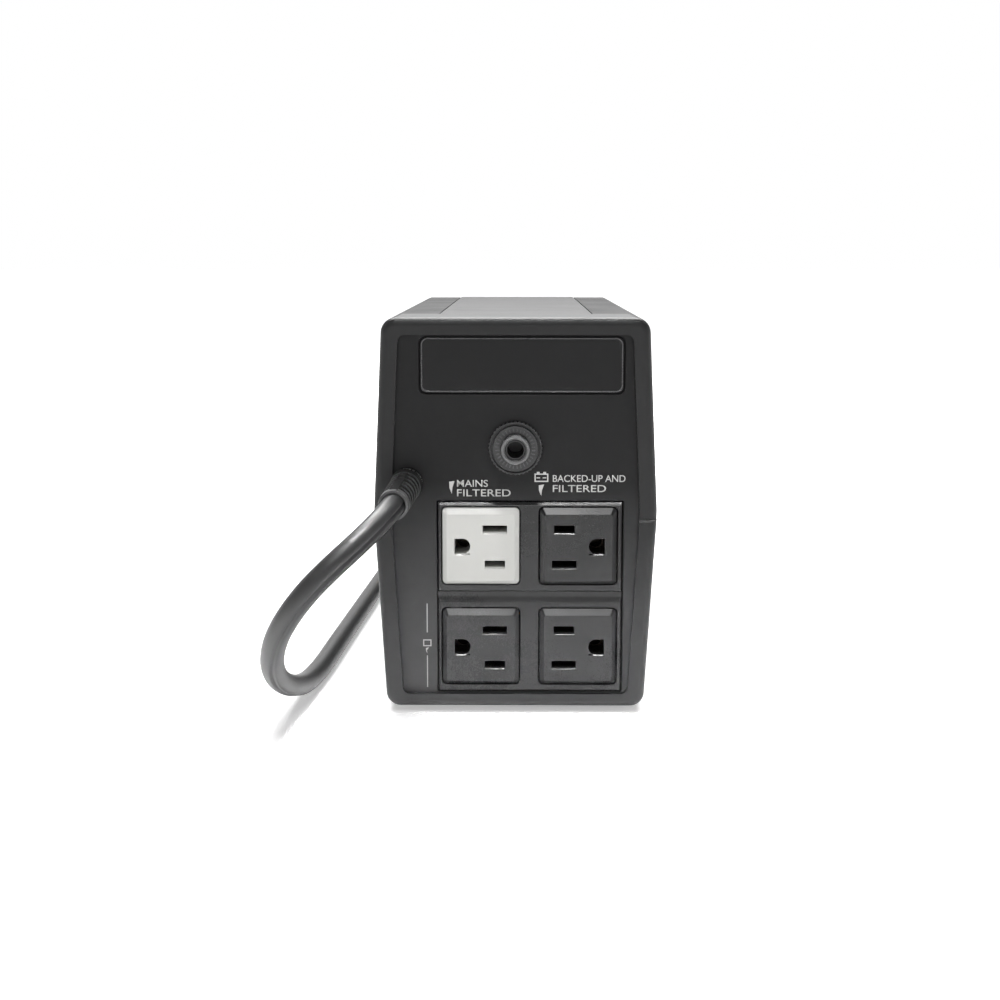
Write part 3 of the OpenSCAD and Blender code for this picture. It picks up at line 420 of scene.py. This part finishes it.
# ------------------------------------------------------------------ detailed copies of CAD solids
def refine(name, bevel=0.3, segs=2, angle=28, mat=None, cut=0):
    """A new piece with the node's shape, with its flat faces made whole and its edges rounded as a moulding's are.
    cut: level seams every so many mm, so that no wall face has an opening inside it."""
    me = NODES[name].data.copy()
    me.name = name + "_skin"
    for a in ("custom_normal", "sharp_face", "sharp_edge"):
        at = me.attributes.get(a)
        if at:
            me.attributes.remove(at)
    bm = bmesh.new(); bm.from_mesh(me)
    bmesh.ops.remove_doubles(bm, verts=bm.verts, dist=3e-6)
    if cut:
        z0, z1 = min(v.co.z for v in bm.verts), max(v.co.z for v in bm.verts)
        z = z0 + cut * MM * 0.55
        while z < z1:
            r = bmesh.ops.bisect_plane(bm, geom=bm.verts[:] + bm.edges[:] + bm.faces[:], dist=1e-6,
                                       plane_co=(0, 0, z), plane_no=(0, 0, 1))
            for g in r["geom_cut"]:
                if isinstance(g, bmesh.types.BMEdge):
                    g.seam = True
            z += cut * MM
    bmesh.ops.dissolve_limit(bm, angle_limit=math.radians(0.6), verts=bm.verts, edges=bm.edges, delimit={"SEAM"})
    bmesh.ops.dissolve_degenerate(bm, dist=2e-6, edges=bm.edges)
    for f in bm.faces:
        f.smooth = True
    bm.to_mesh(me); bm.free()
    o = link(bpy.data.objects.new(name + "_skin", me))
    if bevel:
        b = o.modifiers.new("round", "BEVEL")
        b.width = bevel * MM
        b.segments = segs
        b.limit_method = "ANGLE"
        b.angle_limit = math.radians(angle)
        b.use_clamp_overlap = True
        b.harden_normals = True
        b.miter_outer = "MITER_ARC"
    w = o.modifiers.new("normals", "WEIGHTED_NORMAL")
    w.keep_sharp = True
    w.weight = 50
    paint(o, mat or SLOT[name])
    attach(o, BODY[name])
    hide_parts(name)
    return o


cover = refine("top_cover", 0.35, cut=9)
# the two sunk side zones of the top have a coarser grain
cover.data.materials.append(M["case_grain"])
for f in cover.data.polygons:
    if f.normal.z > 0.99 and TOP - 1.5 * MM < f.center.z < TOP - 0.05 * MM:
        f.material_index = 1
refine("base_tray", 0.5, cut=9)
refine("front_bezel", 0.35)
refine("rear_panel", 0.3)
refine("label_plate", 0.35, 3)
refine("outlet_bezel", 0.42)
for n in ("receptacle_surge_upper_left", "receptacle_backup_upper_right",
          "receptacle_backup_lower_left", "receptacle_backup_lower_right"):
    refine(n, 0.22)
refine("breaker_body", 0.3)
refine("breaker_ring_nut", 0.14, mat="nut_plastic")
refine("breaker_reset_button", 0.25, mat="nut_plastic")
relief = refine("strain_relief", 0.22, 2, 25)
# painted shade in the gaps between the ribs: the faces of the thin core get the near-black material
relief.data.materials.append(M["hole_dark"])
rl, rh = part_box("strain_relief")
rx, rz = (rl.x + rh.x) / 2, (rl.z + rh.z) / 2
core = 0.82 * (rh.z - rl.z) / 2
for f in relief.data.polygons:
    if abs(f.normal.y) < 0.5 and math.hypot(f.center.x - rx, f.center.z - rz) < core * 1.04 and f.center.y < rh.y - 3.4 * MM:
        f.material_index = 1
refine("power_button", 0.5, 3)
refine("battery_cover", 0.3)
refine("rubber_feet", 0.4)
refine("case_screws", 0.2)
tie = refine("cord_tie", 0.4)
plug = refine("plug_body", 1.2, 3, 20, "plug_plastic")
blades = refine("plug_blades", 0.3, mat="blade_brass")
pin = refine("plug_ground_pin", 0.8, 3, mat="blade_brass")

# ------------------------------------------------------------------ small raised details
def bars(name, items, mat):
    """Small raised bars; each is centre, half sizes and turn about Y."""
    me = bpy.data.meshes.new(name)
    bm = bmesh.new()
    for c, h, turn in items:
        r = bmesh.ops.create_cube(bm, size=2.0)
        mx = Matrix.Translation(Vector(c)) @ Matrix.Rotation(turn, 4, "Y") @ Matrix.Diagonal((*h, 1))
        bmesh.ops.transform(bm, matrix=mx, verts=r["verts"])
    bm.to_mesh(me); bm.free()
    o = link(bpy.data.objects.new(name, me))
    b = o.modifiers.new("round", "BEVEL")
    b.width = 0.06 * MM
    b.segments = 2
    paint(o, mat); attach(o, "case")
    return o


nut_lo, nut_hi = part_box("breaker_ring_nut")
nc = (nut_lo + nut_hi) / 2
nr = (nut_hi.x - nut_lo.x) / 2
ticks = []
for i in range(32):
    a = 2 * math.pi * (i + 0.5) / 32
    rad = nr - 3.1 * MM
    ticks.append(((nc.x + rad * math.sin(a), nut_hi.y + 0.0 * MM, nc.z + rad * math.cos(a)),
                  (0.20 * MM, 0.16 * MM, 0.62 * MM), a))
# the ticks take the pale edge material, a painted highlight
bars("nut_face_ticks", ticks, "plate_edge")

# a pale ring at the end of the breaker's neck, a painted highlight on its bevel
neck_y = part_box("breaker_body")[1].y
me = bpy.data.meshes.new("neck_edge")
bm = bmesh.new()
rings = []
for i in range(72):
    a = 2 * math.pi * i / 72
    rings.append([bm.verts.new((nc.x + (4.62 + 0.42 * math.cos(b2)) * MM * math.sin(a), neck_y + (0.22 * math.sin(b2) - 0.06) * MM,
                                nc.z + (4.62 + 0.42 * math.cos(b2)) * MM * math.cos(a)))
                  for b2 in [2 * math.pi * j / 10 for j in range(10)]])
for i in range(72):
    for j in range(10):
        f = bm.faces.new((rings[i][j], rings[i][(j + 1) % 10], rings[(i + 1) % 72][(j + 1) % 10], rings[(i + 1) % 72][j]))
        f.smooth = True
bmesh.ops.recalc_face_normals(bm, faces=bm.faces)
bm.to_mesh(me); bm.free()
neck = link(bpy.data.objects.new("neck_edge", me))
paint(neck, "neck_edge"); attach(neck, "case")

# the border round the blank plate, in a pale material as a painted highlight on its edge
pl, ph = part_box("label_plate")
rr, ins = 2.2 * MM, 0.35 * MM
loop = []
for cx, cz, a0 in ((ph.x - ins - rr, ph.z - ins - rr, 0), (pl.x + ins + rr, ph.z - ins - rr, 90),
                   (pl.x + ins + rr, pl.z + ins + rr, 180), (ph.x - ins - rr, pl.z + ins + rr, 270)):
    for k in range(9):
        a = math.radians(a0 + k * 11.25)
        loop.append(Vector((cx + rr * math.cos(a), ph.y, cz + rr * math.sin(a))))
vs, fs, nl, ns = [], [], len(loop), 8
mid_p = (pl + ph) / 2
for i, p in enumerate(loop):
    t = (loop[(i + 1) % nl] - loop[i - 1]).normalized()
    u = Vector((0, 1, 0))
    w = t.cross(u)
    for j in range(ns):
        a = 2 * math.pi * j / ns
        vs.append(p + u * math.cos(a) * 0.13 * MM + w * math.sin(a) * 0.24 * MM)
for i in range(nl):
    for j in range(ns):
        fs.append((i * ns + j, i * ns + (j + 1) % ns, ((i + 1) % nl) * ns + (j + 1) % ns, ((i + 1) % nl) * ns + j))
me = bpy.data.meshes.new("plate_border")
me.from_pydata([tuple(v) for v in vs], [], fs)
bm = bmesh.new(); bm.from_mesh(me)
bmesh.ops.recalc_face_normals(bm, faces=bm.faces)
for f in bm.faces:
    f.smooth = True
bm.to_mesh(me); bm.free()
border = link(bpy.data.objects.new("plate_border", me))
paint(border, "plate_edge"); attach(border, "case")

# ------------------------------------------------------------------ white print
PRINT_Y = PY + 0.03 * MM


def flat_poly(name, loops, y, thick=0.05):
    """Thin raised print from outlines in x and z (mm); the first outline is filled."""
    me = bpy.data.meshes.new(name)
    bm = bmesh.new()
    for lp in loops:
        vs = [bm.verts.new((x * MM, y, z * MM)) for x, z in lp]
        bm.faces.new(vs)
    bmesh.ops.recalc_face_normals(bm, faces=bm.faces)
    r = bmesh.ops.extrude_face_region(bm, geom=bm.faces[:])
    for v in [g for g in r["geom"] if isinstance(g, bmesh.types.BMVert)]:
        v.co.y += thick * MM
    bmesh.ops.recalc_face_normals(bm, faces=bm.faces)
    bm.to_mesh(me); bm.free()
    o = link(bpy.data.objects.new(name, me))
    paint(o, "ink"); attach(o, "case")
    return o


def rect(x0, x1, z0, z1):
    return [(x0, z0), (x1, z0), (x1, z1), (x0, z1)]


def frame_rect(x0, x1, z0, z1, t):
    return [rect(x0, x1, z1 - t, z1), rect(x0, x1, z0, z0 + t), rect(x0, x0 + t, z0 + t, z1 - t), rect(x1 - t, x1, z0 + t, z1 - t)]


def words(name, text, x_left, z_base, width, height):
    """Lettering facing the rear, its left end at x_left."""
    cu = bpy.data.curves.new(name, "FONT")
    cu.body = text
    cu.size = 1.0
    cu.offset = 0.004
    tmp = link(bpy.data.objects.new(name + "_tmp", cu))
    bpy.context.view_layer.update()
    me = bpy.data.meshes.new_from_object(tmp.evaluated_get(bpy.context.evaluated_depsgraph_get()))
    bpy.data.objects.remove(tmp)
    xs = [v.co.x for v in me.vertices]; ys = [v.co.y for v in me.vertices]
    x0, x1, y0, y1 = min(xs), max(xs), min(ys), max(ys)
    bm = bmesh.new(); bm.from_mesh(me)
    for v in bm.verts:
        v.co = Vector(((x_left - (v.co.x - x0) / (x1 - x0) * width) * MM, PRINT_Y,
                       (z_base + (v.co.y - y0) / (y1 - y0) * height) * MM))
    r = bmesh.ops.extrude_face_region(bm, geom=bm.faces[:])
    for v in [g for g in r["geom"] if isinstance(g, bmesh.types.BMVert)]:
        v.co.y += 0.05 * MM
    bmesh.ops.recalc_face_normals(bm, faces=bm.faces)
    bm.to_mesh(me); bm.free()
    me.name = name
    o = link(bpy.data.objects.new(name, me))
    paint(o, "ink"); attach(o, "case")
    return o


words("legend_a_1", "MAINS", 20.8, 82.0, 11.0, 2.5)
words("legend_a_2", "FILTERED", 20.8, 78.6, 19.1, 2.5)
words("legend_b_1", "BACKED-UP AND", -13.3, 83.8, 25.8, 2.5)
words("legend_b_2", "FILTERED", -13.3, 80.2, 18.9, 2.5)


def wedge(name, x, z1, z0, w, w2):
    return flat_poly(name, [[(x - w / 2, z1), (x + w / 2, z1 - 0.3), (x + w / 2 - 0.1, z1 - (z1 - z0) * 0.55), (x + w2 / 2 - 0.35, z0), (x - w / 2 + 0.75, z1 - (z1 - z0) * 0.5)]], PRINT_Y)


wedge("mark_wedge_a", 22.6, 84.1, 79.5, 1.9, 0.8)
wedge("mark_wedge_b", -9.25, 82.9, 78.8, 1.9, 0.8)
flat_poly("mark_cell_b", frame_rect(-11.7, -6.8, 83.8, 86.8, 0.42)
          + [rect(-10.9, -9.9, 86.8, 87.4), rect(-8.6, -7.6, 86.8, 87.4),
             rect(-11.0, -9.7, 85.1, 85.45), rect(-8.8, -7.5, 85.1, 85.45)], PRINT_Y)
flat_poly("mark_line_upper", [rect(31.53, 31.87, 29.0, 39.6)], PRINT_Y)
flat_poly("mark_line_lower", [rect(31.53, 31.87, 8.8, 20.5)], PRINT_Y)
flat_poly("mark_cell_c", frame_rect(30.2, 33.2, 23.9, 26.4, 0.38), PRINT_Y)
wedge("mark_wedge_c", 31.7, 23.5, 21.1, 1.1, 0.5)

# ------------------------------------------------------------------ room
floor_me = bpy.data.meshes.new("floor")
S = 14
floor_me.from_pydata([(-S, -S, 0), (S, -S, 0), (S, S, 0), (-S, S, 0)], [], [(0, 1, 2, 3)])
floor = link(bpy.data.objects.new("floor", floor_me))
fm, nt, b = new_mat("floor")
tc = nt.nodes.new("ShaderNodeTexCoord").outputs["Object"]
n = noise(nt, tc, 40, 3)
nt.links.new(mix_rgb(nt, remap(nt, n, 0.3, 0.7, 0, 1), (0.84, 0.84, 0.84), (0.86, 0.86, 0.86)), b.inputs["Base Color"])
b.inputs["Roughness"].default_value = 0.8
b.inputs["Specular IOR Level"].default_value = 0.1
b.inputs["Emission Color"].default_value = (1, 1, 1, 1)
# the sweep is lit more and more evenly away from the case
away = nt.nodes.new("ShaderNodeVectorMath")
away.operation = "LENGTH"
nt.links.new(tc, away.inputs[0])
nt.links.new(remap(nt, away.outputs["Value"], 0.2, 0.6, 0.40, 0.98), b.inputs["Emission Strength"])
floor_me.materials.append(fm)


def area(name, loc, target, size, power, size_y=None, spread=180):
    l = bpy.data.lights.new(name, "AREA")
    l.shape = "RECTANGLE"
    l.size, l.size_y = size, size_y or size
    l.energy = power
    l.spread = math.radians(spread)
    o = link(bpy.data.objects.new(name, l))
    o.location = loc
    o.rotation_mode = "QUATERNION"
    o.rotation_quaternion = (Vector(target) - Vector(loc)).to_track_quat("-Z", "Y")
    o.visible_camera = False
    return o


# softboxes: behind the case, high in front of the outlets, and a narrow one that whitens the table
# just behind the outlets
area("softbox_far", (0, -0.9, 1.3), (0, -0.4, 0), 1.2, 54, 0.8)
area("softbox_front", (0, R + 0.7, 1.1), (0, R, 0.07), 0.45, 5.0, 0.2)
area("table_strip", (0.04, R + 0.075, 0.9), (0.04, R + 0.075, 0), 0.45, 0.38, 0.06, 16)

world = bpy.data.worlds.new("world")
scene.world = world
world.use_nodes = True
nt = world.node_tree
nt.nodes.clear()
wo = nt.nodes.new("ShaderNodeOutputWorld")
bg = nt.nodes.new("ShaderNodeBackground")
tcw = nt.nodes.new("ShaderNodeTexCoord").outputs["Generated"]
sep = nt.nodes.new("ShaderNodeSeparateXYZ")
nt.links.new(tcw, sep.inputs[0])
# white near the horizon, softer above it, a little greyer on the side of the outlets
up = remap(nt, sep.outputs["Z"], 0.24, 0.5, 0, 1)
high = mix_rgb(nt, up, (1.0, 1.0, 1.0), (0.20, 0.20, 0.20))
back = remap(nt, sep.outputs["Y"], -0.1, 0.6, 0, 1)
front = mix_rgb(nt, up, (0.72, 0.72, 0.72), (0.05, 0.05, 0.05))
col = mix_rgb(nt, back, high, front)
nt.links.new(col, bg.inputs["Color"])
bg.inputs["Strength"].default_value = 1.0
nt.links.new(bg.outputs[0], wo.inputs[0])
scene.view_settings.view_transform = "Standard"
scene.view_settings.look = "None"
